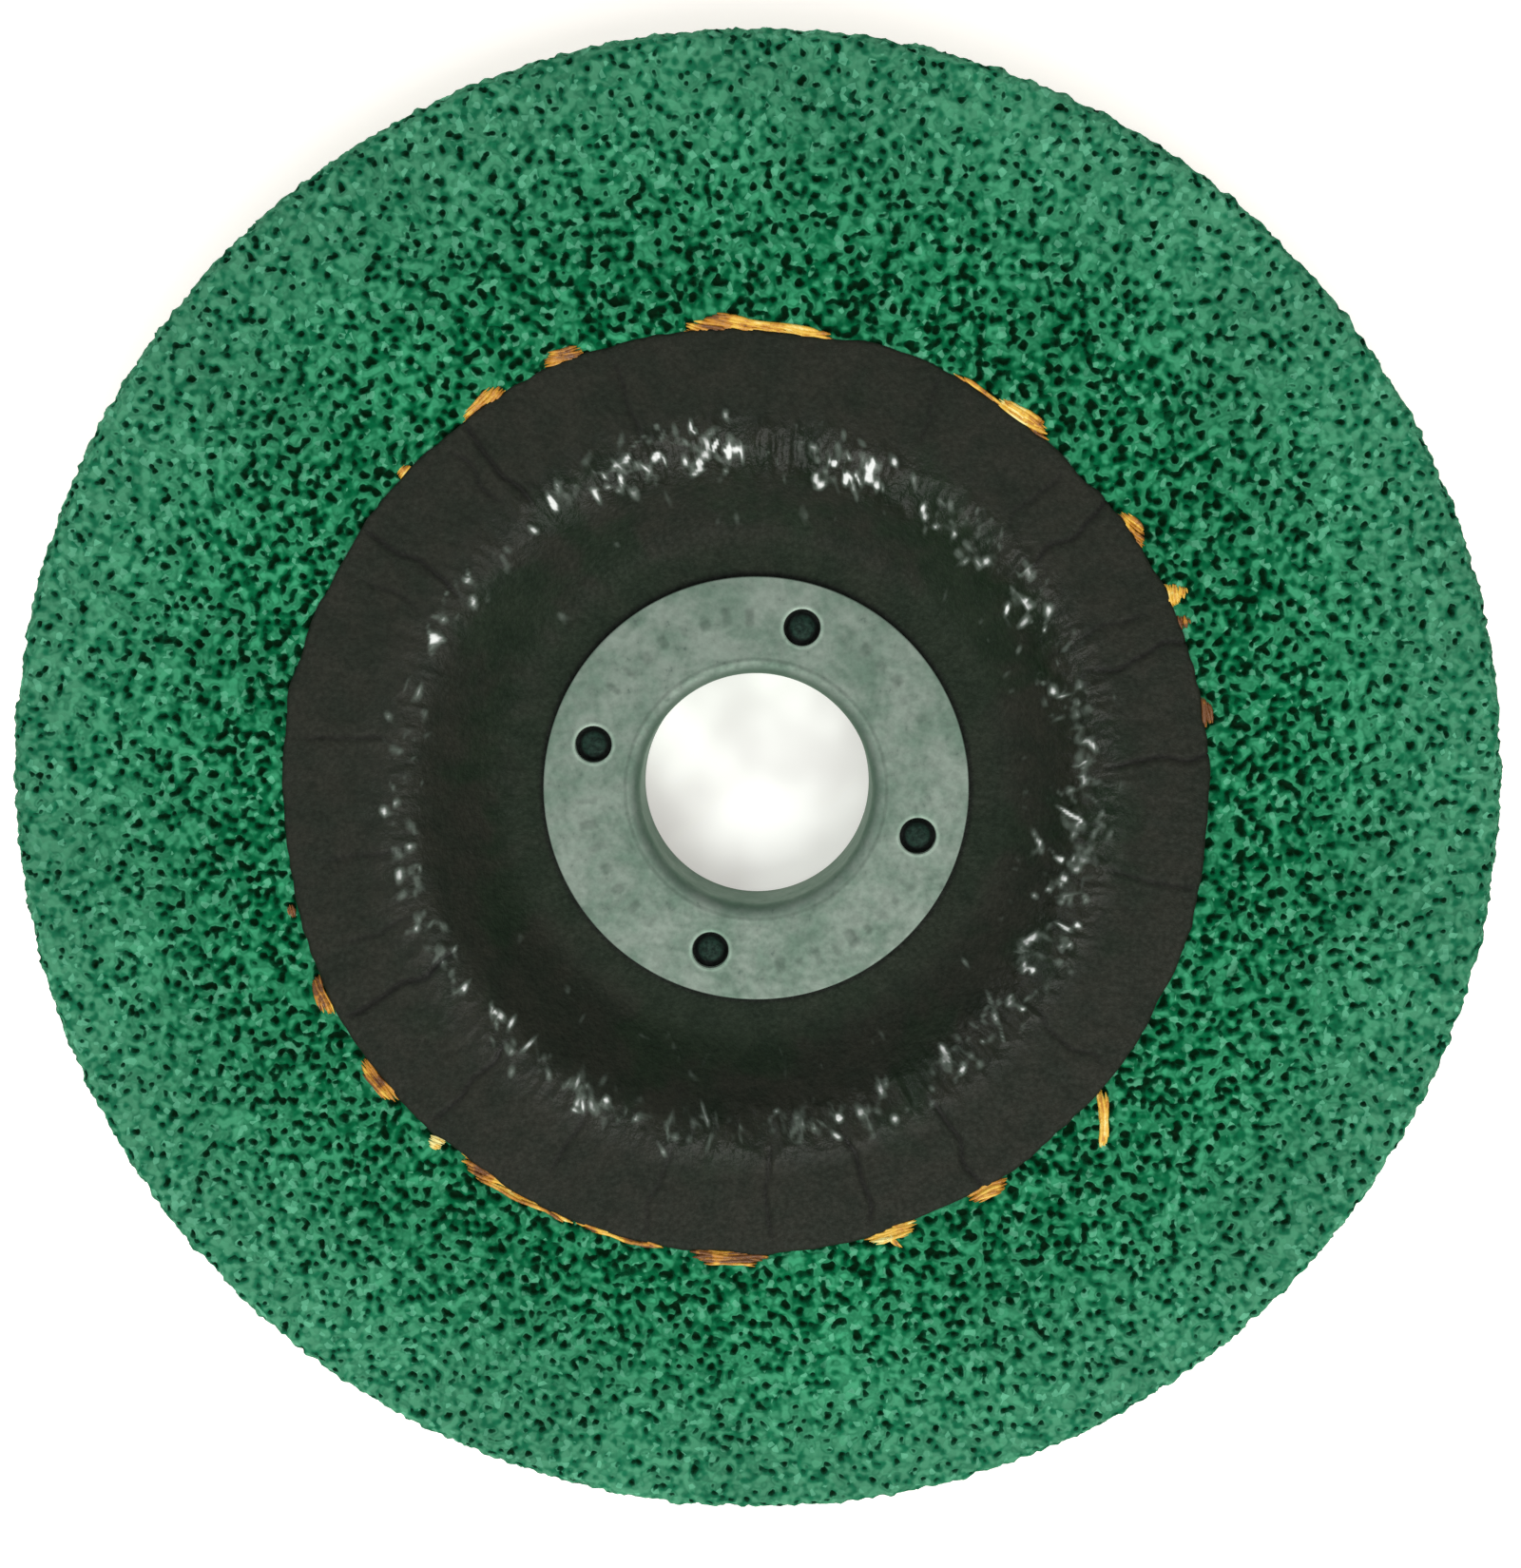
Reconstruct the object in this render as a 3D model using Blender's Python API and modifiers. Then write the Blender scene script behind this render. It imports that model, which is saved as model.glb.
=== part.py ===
"""Depressed-centre (type 27) grinding wheel, 100 x 6 x 16 mm, lying on its hub with the recess upwards.

Metres, +Z up. The origin is on the spindle axis, in the plane of the hub's back face.

A bonded wheel is one rigid pressing of layers. From the back face to the front they are the back
label, the back net, the back abrasive, the middle net, the front abrasive, the hub net and the front
paper. A pressed steel ring lines the bore and its flange lies on the front paper.
"""

import math

import bmesh
import bpy
from mathutils import Matrix

MM = 0.001

# Standard sizes of the wheel
WHEEL_RADIUS = 50.0 * MM
THICKNESS = 6.0 * MM  # through the layers, the same at the hub and at the rim
HUB_DROP = 4.6 * MM  # how far the hub sits below the rim
RECESS_RADIUS = 17.75 * MM  # flat floor of the recess
BORE_RADIUS = 8.0 * MM
SLOPE = math.radians(41.0)  # of the wall between hub and rim
BEND = 1.0 * MM  # how far each bend is blunted along its two sides
FRONT_EDGE_ROUND = 1.2 * MM
BACK_EDGE_ROUND = 0.7 * MM

# The layers, as heights above the hub's back face
LAYER_GAP = 0.05 * MM
PAPER_THICKNESS = 0.20 * MM
NET_THICKNESS = 0.50 * MM
LABEL_TOP = PAPER_THICKNESS
BACK_NET_BASE = LABEL_TOP + LAYER_GAP
BACK_NET_TOP = BACK_NET_BASE + NET_THICKNESS
BACK_ABRASIVE_BASE = BACK_NET_TOP + LAYER_GAP
PAPER_BASE = THICKNESS - PAPER_THICKNESS
HUB_NET_TOP = PAPER_BASE - LAYER_GAP
HUB_NET_BASE = HUB_NET_TOP - NET_THICKNESS
HUB_SEAT = HUB_NET_BASE - LAYER_GAP  # top of the front abrasive under the hub net
MIDDLE_NET_BASE = (BACK_ABRASIVE_BASE + HUB_SEAT - NET_THICKNESS) / 2
MIDDLE_NET_TOP = MIDDLE_NET_BASE + NET_THICKNESS

# How far each layer reaches from the axis
COLLAR_CLEARANCE = 0.1 * MM
LABEL_RADIUS = 35.0 * MM
NET_RADIUS = 48.5 * MM
LIP_RADIUS = 48.8 * MM  # outside the middle net, where the two abrasive layers meet
PAPER_RADIUS = 30.8 * MM
HUB_NET_RADIUS = 32.6 * MM
SEAT_RADIUS = 33.0 * MM

# Woven glass-fibre nets
MESH_PITCH = 8.0 * MM
STRAND_WIDTH = 1.6 * MM
MIDDLE_NET_TURN = math.radians(35.0)  # its strands run aslant to the other nets'
LATTICE_REACH = 2 * THICKNESS + HUB_DROP  # height of the lattice, more than any net's

# Pressed steel ring
SHEET = 0.5 * MM
FLANGE_RADIUS = 14.65 * MM
ROLL_RADIUS = 1.0 * MM
COLLAR_BASE = 0.25 * MM
HOLE_CIRCLE_RADIUS = 11.6 * MM
HOLE_RADIUS = 1.25 * MM
HOLE_COUNT = 4
FIRST_HOLE = math.radians(74.2)

SEGMENTS = 60
HOLE_SEGMENTS = 16
ROUND_STEPS = 3  # straight runs in a rounded edge
SHARP_ANGLE = math.radians(28.0)

# Colour, roughness, metallic
ABRASIVE_FINISH = ((0.035, 0.21, 0.11, 1.0), 0.85, 0.0)
PAPER_FINISH = ((0.028, 0.024, 0.024, 1.0), 0.55, 0.0)
NET_FINISH = ((0.62, 0.36, 0.07, 1.0), 0.45, 0.0)
STEEL_FINISH = ((0.36, 0.42, 0.38, 1.0), 0.35, 0.9)


def clear_scene():
    for obj in list(bpy.data.objects):
        bpy.data.objects.remove(obj, do_unlink=True)


def new_collection(name):
    collection = bpy.data.collections.new(name)
    bpy.context.scene.collection.children.link(collection)
    return collection


def material(name, finish):
    """A Principled material with one colour, roughness and metallic value."""
    color, roughness, metallic = finish
    made = bpy.data.materials.new(name)
    made.use_nodes = True
    shader = made.node_tree.nodes["Principled BSDF"]
    shader.inputs["Base Color"].default_value = color
    shader.inputs["Roughness"].default_value = roughness
    shader.inputs["Metallic"].default_value = metallic
    made.diffuse_color = color
    return made


def quarter_round(centre, radius, start):
    """Points of a quarter turn clockwise from the start angle, about a centre in radius and z."""
    points = []
    for step in range(ROUND_STEPS + 1):
        angle = start - step * math.pi / 2 / ROUND_STEPS
        points.append((centre[0] + radius * math.cos(angle), centre[1] + radius * math.sin(angle)))
    return points


def dished(height, inner, outer):
    """Radius and z along the surface at this height in the layers, from its inner to its outer radius.

    Surfaces at other heights are the same line moved square to it, so a layer is as thick on the slope
    as on the hub and the rim.
    """
    foot = RECESS_RADIUS + (THICKNESS - height) * math.tan(SLOPE / 2)
    head = foot + HUB_DROP / math.tan(SLOPE)
    across = BEND * math.cos(SLOPE)
    up = BEND * math.sin(SLOPE)
    rim = height + HUB_DROP
    return [
        (inner, height),
        (foot - BEND, height),
        (foot + across, height + up),
        (head - across, rim - up),
        (head + BEND, rim),
        (outer, rim),
    ]


def dished_layer(base, top, outer):
    """Closed profile of a layer with square edges, clear of the collar."""
    inner = BORE_RADIUS + SHEET + COLLAR_CLEARANCE
    return dished(top, inner, outer) + dished(base, inner, outer)[::-1]


def front_abrasive_profile():
    """The working face, with a seat let into it for the hub net and the front paper.

    A lip at the rim reaches down past the middle net to the back abrasive, so the net is closed in.
    """
    inner = BORE_RADIUS + SHEET + COLLAR_CLEARANCE
    face = HUB_DROP + THICKNESS
    centre = (WHEEL_RADIUS - FRONT_EDGE_ROUND, face - FRONT_EDGE_ROUND)
    seat = dished(HUB_SEAT, inner, SEAT_RADIUS) + [(SEAT_RADIUS, face)]
    edge = quarter_round(centre, FRONT_EDGE_ROUND, math.pi / 2)
    lip_base = HUB_DROP + MIDDLE_NET_BASE
    lip = [(WHEEL_RADIUS, lip_base), (LIP_RADIUS, lip_base)]
    back = dished(MIDDLE_NET_TOP + LAYER_GAP, inner, LIP_RADIUS)[::-1]
    return seat + edge + lip + back


def back_abrasive_profile():
    inner = BORE_RADIUS + SHEET + COLLAR_CLEARANCE
    front = dished(MIDDLE_NET_BASE - LAYER_GAP, inner, WHEEL_RADIUS)
    centre = (WHEEL_RADIUS - BACK_EDGE_ROUND, HUB_DROP + BACK_ABRASIVE_BASE + BACK_EDGE_ROUND)
    edge = quarter_round(centre, BACK_EDGE_ROUND, 0.0)
    back = dished(BACK_ABRASIVE_BASE, inner, WHEEL_RADIUS)[-2::-1]
    return front + edge + back


def ring_profile():
    """Flange on the front paper, rolled over into the collar that lines the bore."""
    under = THICKNESS + LAYER_GAP
    top = under + SHEET
    collar_outer = BORE_RADIUS + SHEET
    roll_centre = (BORE_RADIUS + ROLL_RADIUS, top - ROLL_RADIUS)
    roll = quarter_round(roll_centre, ROLL_RADIUS, math.pi)
    outside = [
        (FLANGE_RADIUS, top),
        (FLANGE_RADIUS, under),
        (collar_outer, under),
        (collar_outer, COLLAR_BASE),
        (BORE_RADIUS, COLLAR_BASE),
    ]
    return roll + outside


def turned(name, profile, collection):
    """A closed profile of radius and z points, turned once round the Z axis."""
    mesh = bpy.data.meshes.new(name)
    count = len(profile)
    edges = [(i, (i + 1) % count) for i in range(count)]
    mesh.from_pydata([(radius, 0.0, z) for radius, z in profile], edges, [])
    obj = bpy.data.objects.new(name, mesh)
    collection.objects.link(obj)
    screw = obj.modifiers.new("Turn", "SCREW")
    screw.axis = "Z"
    screw.angle = 2 * math.pi
    screw.steps = SEGMENTS
    screw.render_steps = SEGMENTS
    screw.use_merge_vertices = False
    return obj


def square_spline(curve, centre_x, centre_y, side):
    half = side / 2
    corners = [(-half, -half), (half, -half), (half, half), (-half, half)]
    spline = curve.splines.new("POLY")
    spline.points.add(len(corners) - 1)
    for point, (x, y) in zip(spline.points, corners):
        point.co = (centre_x + x, centre_y + y, 0.0, 1.0)
    spline.use_cyclic_u = True


def mesh_from_curve(curve_object, name, collection):
    """The curve's filled shape as a welded mesh object; the curve is removed."""
    bpy.context.view_layer.update()
    graph = bpy.context.evaluated_depsgraph_get()
    mesh = bpy.data.meshes.new_from_object(curve_object.evaluated_get(graph))
    welding = bmesh.new()
    welding.from_mesh(mesh)
    bmesh.ops.remove_doubles(welding, verts=welding.verts, dist=0.001 * MM)
    welding.to_mesh(mesh)
    welding.free()
    obj = bpy.data.objects.new(name, mesh)
    obj.matrix_world = curve_object.matrix_world
    collection.objects.link(obj)
    bpy.data.objects.remove(curve_object, do_unlink=True)
    return obj


def lattice(name, radius, turn, collection):
    """Upright square lattice of strands over a disc of this radius, with a crossing on the axis."""
    windows = 2 * math.ceil(radius / MESH_PITCH + 0.5)
    curve = bpy.data.curves.new(name, "CURVE")
    curve.dimensions = "2D"
    curve.fill_mode = "BOTH"
    curve.extrude = LATTICE_REACH / 2
    square_spline(curve, 0.0, 0.0, windows * MESH_PITCH + STRAND_WIDTH)
    for row in range(windows):
        for column in range(windows):
            x = (column - (windows - 1) / 2) * MESH_PITCH
            y = (row - (windows - 1) / 2) * MESH_PITCH
            square_spline(curve, x, y, MESH_PITCH - STRAND_WIDTH)
    outline = bpy.data.objects.new(name + "_outline", curve)
    outline.matrix_world = Matrix.Translation((0.0, 0.0, LATTICE_REACH / 3)) @ Matrix.Rotation(turn, 4, "Z")
    collection.objects.link(outline)
    return mesh_from_curve(outline, name, collection)


def hole_cutter(name, collection):
    """Round punches for the flange, one for each hole."""
    mesh = bpy.data.meshes.new(name)
    punches = bmesh.new()
    for hole in range(HOLE_COUNT):
        angle = FIRST_HOLE + hole * 2 * math.pi / HOLE_COUNT
        place = Matrix.Rotation(angle, 4, "Z") @ Matrix.Translation((HOLE_CIRCLE_RADIUS, 0.0, THICKNESS))
        bmesh.ops.create_cone(
            punches,
            cap_ends=True,
            segments=HOLE_SEGMENTS,
            radius1=HOLE_RADIUS,
            radius2=HOLE_RADIUS,
            depth=4 * SHEET,
            matrix=place,
        )
    punches.to_mesh(mesh)
    punches.free()
    obj = bpy.data.objects.new(name, mesh)
    collection.objects.link(obj)
    return obj


def combine(obj, other, operation):
    """Boolean of an object with a cutter, which stays in the scene as a wire."""
    other.display_type = "WIRE"
    other.hide_render = True
    boolean = obj.modifiers.new(other.name, "BOOLEAN")
    boolean.operation = operation
    boolean.object = other


def finished(obj, surface):
    """Bakes the modifiers into the mesh, and gives it its material and smooth shading."""
    bpy.context.view_layer.update()
    graph = bpy.context.evaluated_depsgraph_get()
    mesh = bpy.data.meshes.new_from_object(obj.evaluated_get(graph))
    obj.modifiers.clear()
    obj.data = mesh
    mesh.materials.clear()
    mesh.materials.append(surface)
    mesh.shade_smooth()
    mesh.set_sharp_from_angle(angle=SHARP_ANGLE)


def net(name, base, top, radius, turn, parts, cutters):
    """A woven net pressed to the dished form: a turned layer, kept only where the lattice has a strand."""
    obj = turned(name, dished_layer(base, top, radius), parts)
    combine(obj, lattice(name + "_lattice", radius, turn, cutters), "INTERSECT")
    finished(obj, material(name, NET_FINISH))


def main():
    clear_scene()
    parts = new_collection("grinding_wheel")
    cutters = new_collection("cutters")

    label = turned("back_label", dished_layer(0.0, LABEL_TOP, LABEL_RADIUS), parts)
    finished(label, material("back_label", PAPER_FINISH))

    net("back_net", BACK_NET_BASE, BACK_NET_TOP, NET_RADIUS, 0.0, parts, cutters)
    back = turned("abrasive_back", back_abrasive_profile(), parts)
    finished(back, material("abrasive_back", ABRASIVE_FINISH))

    net("middle_net", MIDDLE_NET_BASE, MIDDLE_NET_TOP, NET_RADIUS, MIDDLE_NET_TURN, parts, cutters)
    front = turned("abrasive_front", front_abrasive_profile(), parts)
    finished(front, material("abrasive_front", ABRASIVE_FINISH))

    net("hub_net", HUB_NET_BASE, HUB_NET_TOP, HUB_NET_RADIUS, 0.0, parts, cutters)
    paper = turned("front_paper", dished_layer(PAPER_BASE, THICKNESS, PAPER_RADIUS), parts)
    finished(paper, material("front_paper", PAPER_FINISH))

    ring = turned("centre_ring", ring_profile(), parts)
    combine(ring, hole_cutter("flange_holes", cutters), "DIFFERENCE")
    finished(ring, material("centre_ring", STEEL_FINISH))


main()
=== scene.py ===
"""Looks of a depressed-centre grinding wheel, lying on its hub with the recess upwards.

Metres, +Z up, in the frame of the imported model. Each visible piece stands for one CAD node: two
layers of green grit, the crumpled paper over the recess, the net that frays out at its edge, the
pressed steel ring, and the net and the label on the back. Angles are anticlockwise from +X, seen
from above. Shader graphs work in millimetres.
"""

import math

import bpy
import numpy as np
from mathutils import Matrix, Vector


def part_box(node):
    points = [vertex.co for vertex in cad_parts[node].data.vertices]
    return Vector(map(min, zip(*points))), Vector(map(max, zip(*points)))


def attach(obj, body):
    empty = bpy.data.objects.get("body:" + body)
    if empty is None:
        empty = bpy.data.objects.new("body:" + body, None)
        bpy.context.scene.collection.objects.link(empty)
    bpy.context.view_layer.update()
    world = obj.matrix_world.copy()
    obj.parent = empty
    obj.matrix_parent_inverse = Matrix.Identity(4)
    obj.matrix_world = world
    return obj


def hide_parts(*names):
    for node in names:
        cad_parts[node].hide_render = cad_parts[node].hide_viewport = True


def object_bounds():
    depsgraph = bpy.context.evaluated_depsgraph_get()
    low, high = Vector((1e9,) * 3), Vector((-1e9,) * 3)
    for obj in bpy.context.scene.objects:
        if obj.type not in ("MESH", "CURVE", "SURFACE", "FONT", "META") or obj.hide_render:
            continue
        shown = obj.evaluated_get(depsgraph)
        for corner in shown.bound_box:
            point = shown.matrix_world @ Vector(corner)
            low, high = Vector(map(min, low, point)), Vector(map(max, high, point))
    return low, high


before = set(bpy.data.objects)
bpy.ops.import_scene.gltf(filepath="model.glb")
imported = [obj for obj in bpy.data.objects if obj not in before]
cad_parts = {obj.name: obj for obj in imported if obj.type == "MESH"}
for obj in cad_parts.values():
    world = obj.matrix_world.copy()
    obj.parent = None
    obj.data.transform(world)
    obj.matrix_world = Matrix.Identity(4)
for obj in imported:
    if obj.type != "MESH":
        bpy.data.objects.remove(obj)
cad_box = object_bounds()

MM = 0.001
FULL_TURN = 2 * math.pi
BODY = "root"

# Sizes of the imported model
WHEEL_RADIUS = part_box("abrasive_front")[1].x
FACE_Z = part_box("abrasive_front")[1].z
PAPER_THICKNESS = 0.20 * MM
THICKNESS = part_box("front_paper")[0].z + PAPER_THICKNESS
HUB_DROP = FACE_Z - THICKNESS
LAYER_GAP = 0.05 * MM
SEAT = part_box("hub_net")[0].z - LAYER_GAP  # top of the front grit under the hub net, at the hub
FRONT_LAYER_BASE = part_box("abrasive_front")[0].z
REAR_LAYER_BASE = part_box("abrasive_back")[0].z
REAR_LAYER_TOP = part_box("middle_net")[0].z - LAYER_GAP
LABEL_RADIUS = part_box("back_label")[1].x
NET_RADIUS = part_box("back_net")[1].x
LIP_RADIUS = NET_RADIUS + 0.3 * MM  # the layers part inside it, where the middle net lies
SEAM_Z = HUB_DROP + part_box("middle_net")[0].z  # where the two layers of grit meet on the rim
RING_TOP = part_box("centre_ring")[1].z
RING_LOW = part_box("centre_ring")[0].z
FLANGE_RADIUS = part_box("centre_ring")[1].x

# The line that every layer follows
RECESS_RADIUS = 17.75 * MM
SLOPE = math.radians(41.0)
BEND_SOFTNESS = 1.1 * MM
LAYER_BORE = 8.6 * MM
FRONT_EDGE_ROUND = 1.2 * MM
BACK_EDGE_ROUND = 0.7 * MM

# Grit
GRIT_COLUMNS = 1260
GRIT_STEP = 0.19 * MM
HIDDEN_STEP = 1.2 * MM
SHOULDER_DEPTH = 0.22 * MM  # how far the grit sinks beside the paper's edge
SHOULDER_WIDTH = 0.6 * MM

# Paper
PAPER_COLUMNS = 960
PAPER_STEP = 0.22 * MM
UNDER_SKIP = 3  # the hidden underside keeps every third row
DARK_FOLD = 0.2 * MM  # depth of a fold whose painted shade is quite black
PAPER_RADIUS = 31.1 * MM
PAPER_SHIFT = Vector((-0.68, -0.26)) * MM  # the paper disc was laid a little off centre
KNEE_RADIUS = 23.0 * MM
KNEE_SHIFT = 0.8 * MM  # the knee, where the slope meets the face, lies this much towards -X


def soft_ramp(distance, softness):
    """0 below zero and the distance above it, with a rounded corner between."""
    return (distance + np.sqrt(distance**2 + softness**2)) / 2


def dish(radius, height):
    """z of the layer surface at this height above the hub's back face, over hub, slope and rim."""
    foot = RECESS_RADIUS + (THICKNESS - height) * math.tan(SLOPE / 2)
    head = foot + HUB_DROP / math.tan(SLOPE)
    rise = soft_ramp(radius - foot, BEND_SOFTNESS) - soft_ramp(radius - head, BEND_SOFTNESS)
    return height + math.tan(SLOPE) * rise


def smooth_step(value, low, high):
    part = np.clip((value - low) / (high - low), 0.0, 1.0)
    return part * part * (3.0 - 2.0 * part)


def wave_noise(across, along, cells, seed):
    """Smooth noise from -1 to 1. It repeats after this many cells across, and not along."""
    lines = int(np.max(along)) + 3
    table = np.random.default_rng(seed).uniform(-1.0, 1.0, (lines, cells))
    column = np.floor(across).astype(int)
    row = np.floor(along).astype(int)
    part_across = smooth_step(across - column, 0.0, 1.0)
    part_along = smooth_step(along - row, 0.0, 1.0)
    left, right = column % cells, (column + 1) % cells
    near = table[row, left] * (1 - part_across) + table[row, right] * part_across
    far = table[row + 1, left] * (1 - part_across) + table[row + 1, right] * part_across
    return near * (1 - part_along) + far * part_along


def ring_noise(angle, radius, cells, length, seed):
    """Noise over the disc, with this many cells round it and one cell per length outwards."""
    across = (angle % FULL_TURN) / FULL_TURN * cells
    return wave_noise(across, np.broadcast_to(radius, across.shape) / length, cells, seed)


def paper_edge(angle):
    """Radius of the paper's edge, which is torn a little uneven."""
    offset = PAPER_SHIFT.x * np.cos(angle) + PAPER_SHIFT.y * np.sin(angle)
    waves = 0.20 * ring_noise(angle, 0.0, 26, 1.0, 11)
    waves = waves + 0.13 * ring_noise(angle, 0.0, 80, 1.0, 12)
    waves = waves + 0.07 * ring_noise(angle, 0.0, 240, 1.0, 13)
    return PAPER_RADIUS + offset + waves * MM


def column_angles(columns):
    return np.arange(columns) / columns * FULL_TURN


def runs(start, stop, step):
    """Even values from start to stop, without the last one."""
    count = max(1, round(abs(stop - start) / step))
    return np.linspace(start, stop, count, endpoint=False)


def around(radius, angle, z):
    """Points, or directions, at this radius and angle about the axis."""
    return np.stack([radius * np.cos(angle), radius * np.sin(angle), z], axis=-1)


def mesh_from_grid(name, points):
    """A closed ring of quads. The rows of points go round the section, the columns round the axis."""
    rows, columns = points.shape[:2]
    here = np.arange(rows * columns).reshape(rows, columns)
    beside = np.roll(here, -1, axis=1)
    quads = np.stack([here, beside, np.roll(beside, -1, axis=0), np.roll(here, -1, axis=0)], axis=-1)
    return mesh_from_arrays(name, points.reshape(-1, 3), quads.reshape(-1, 4))


def mesh_from_arrays(name, points, quads):
    mesh = bpy.data.meshes.new(name)
    mesh.vertices.add(len(points))
    mesh.vertices.foreach_set("co", points.astype(np.float32).ravel())
    mesh.loops.add(quads.size)
    mesh.loops.foreach_set("vertex_index", quads.astype(np.int32).ravel())
    mesh.polygons.add(len(quads))
    mesh.polygons.foreach_set("loop_start", np.arange(0, quads.size, 4, dtype=np.int32))
    mesh.update(calc_edges=True)
    mesh.validate()
    mesh.shade_smooth()
    return mesh


def place_in_scene(name, data):
    made = bpy.data.objects.new(name, data)
    bpy.context.scene.collection.objects.link(made)
    return made


def evaluated_mesh(thing):
    """The object's mesh with its modifiers applied."""
    bpy.context.view_layer.update()
    evaluated = thing.evaluated_get(bpy.context.evaluated_depsgraph_get())
    return bpy.data.meshes.new_from_object(evaluated)


def add_piece(name, mesh, material, node):
    """Puts the mesh in the scene as the piece that stands for one CAD node."""
    mesh.materials.clear()
    mesh.materials.append(material)
    piece = place_in_scene(name, mesh)
    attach(piece, BODY)
    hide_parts(node)
    return piece


def store(mesh, name, kind, values):
    """Keeps one value or one vector per vertex, for the materials to read."""
    attribute = mesh.attributes.new(name, kind, "POINT")
    key = "vector" if kind == "FLOAT_VECTOR" else "value"
    attribute.data.foreach_set(key, np.ascontiguousarray(values, dtype=np.float32).ravel())


class Graph:
    """Adds linked nodes to a node tree in short calls, each of which returns an output socket."""

    def __init__(self, tree):
        self.tree = tree

    def feed(self, socket, value):
        if isinstance(value, bpy.types.NodeSocket):
            self.tree.links.new(value, socket)
        else:
            socket.default_value = value

    def add(self, kind, inputs=None, **settings):
        node = self.tree.nodes.new(kind)
        for name, value in settings.items():
            setattr(node, name, value)
        for name, value in (inputs or {}).items():
            self.feed(node.inputs[name], value)
        return node

    def math(self, operation, *values):
        node = self.add("ShaderNodeMath", operation=operation)
        for socket, value in zip(node.inputs, values):
            self.feed(socket, value)
        return node.outputs[0]

    def vector(self, operation, *values):
        node = self.add("ShaderNodeVectorMath", operation=operation)
        for socket, value in zip(node.inputs, values):
            self.feed(socket, value)
        return node.outputs["Value" if operation == "LENGTH" else "Vector"]

    def noise(self, place, scale, detail=2.0, roughness=0.5):
        values = {"Vector": place, "Scale": scale, "Detail": detail, "Roughness": roughness}
        return self.add("ShaderNodeTexNoise", values).outputs[0]

    def cells(self, place, scale):
        """Distance to the nearest cell's middle, and a random colour for each cell."""
        node = self.add("ShaderNodeTexVoronoi", {"Vector": place, "Scale": scale})
        return node.outputs["Distance"], node.outputs["Color"]

    def remap(self, value, low, high, to_low=0.0, to_high=1.0):
        values = {"Value": value, "From Min": low, "From Max": high, "To Min": to_low, "To Max": to_high}
        node = self.add("ShaderNodeMapRange", values, interpolation_type="SMOOTHSTEP")
        return node.outputs[0]

    def mix(self, factor, first, second):
        """The colour between two others, each of which is a socket or three numbers."""
        node = self.add("ShaderNodeMix", data_type="RGBA")
        self.feed(node.inputs[0], factor)
        for index, colour in ((6, first), (7, second)):
            self.feed(node.inputs[index], (*colour, 1.0) if isinstance(colour, tuple) else colour)
        return node.outputs[2]

    def brighten(self, colour, factor):
        return self.vector("SCALE", colour, (0.0, 0.0, 0.0), (0.0, 0.0, 0.0), factor)

    def stored(self, name, output="Fac"):
        return self.add("ShaderNodeAttribute", attribute_name=name).outputs[output]

    def millimetres(self, place):
        return self.vector("MULTIPLY", place, (1000.0, 1000.0, 1000.0))

    def object_place(self):
        return self.millimetres(self.add("ShaderNodeTexCoord").outputs["Object"])

    def distance_from_axis(self, place):
        return self.vector("LENGTH", self.vector("MULTIPLY", place, (1.0, 1.0, 0.0)))

    def bump(self, height, depth, normal=None):
        values = {"Height": height, "Distance": depth, "Strength": 1.0}
        if normal is not None:
            values["Normal"] = normal
        return self.add("ShaderNodeBump", values).outputs[0]


def new_material(name, roughness=0.5, metallic=0.0, specular=0.5):
    """A material, its graph and its shader, with the values that are the same all over set on it."""
    material = bpy.data.materials.new(name)
    material.use_nodes = True
    shader = material.node_tree.nodes["Principled BSDF"]
    shader.inputs["Roughness"].default_value = roughness
    shader.inputs["Metallic"].default_value = metallic
    shader.inputs["Specular IOR Level"].default_value = specular
    return material, Graph(material.node_tree), shader


# ---------------------------------------------------------------- grit

PORE_SCALE = 1.8  # cells per mm
PORE_SHARE = 0.75
CELL_SCALE = 1.42
CELL_SHARE = 0.52
PIT_LOW, PIT_HIGH = 0.31, 0.47  # pore values between which a pit's wall falls
PIT_DEPTH = 0.32  # mm
GRAIN_SCALE = 2.6
GRAIN_HEIGHT = 0.07
DENSE_FROM, DENSE_TO = 31.0, 50.0  # mm from the axis: the pits grow scarce from the paper to the rim
OPEN_SHIFT, DENSE_SHIFT = -0.022, 0.100
RAGGED_SCALE = 1.2
RAGGED_HEIGHT = 0.9
RAGGED_MEAN = 0.54  # a little over the noise's mean, so that the rim is broken away more than built up
RIM_FROM, RIM_TO = 48.9, 49.9


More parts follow.
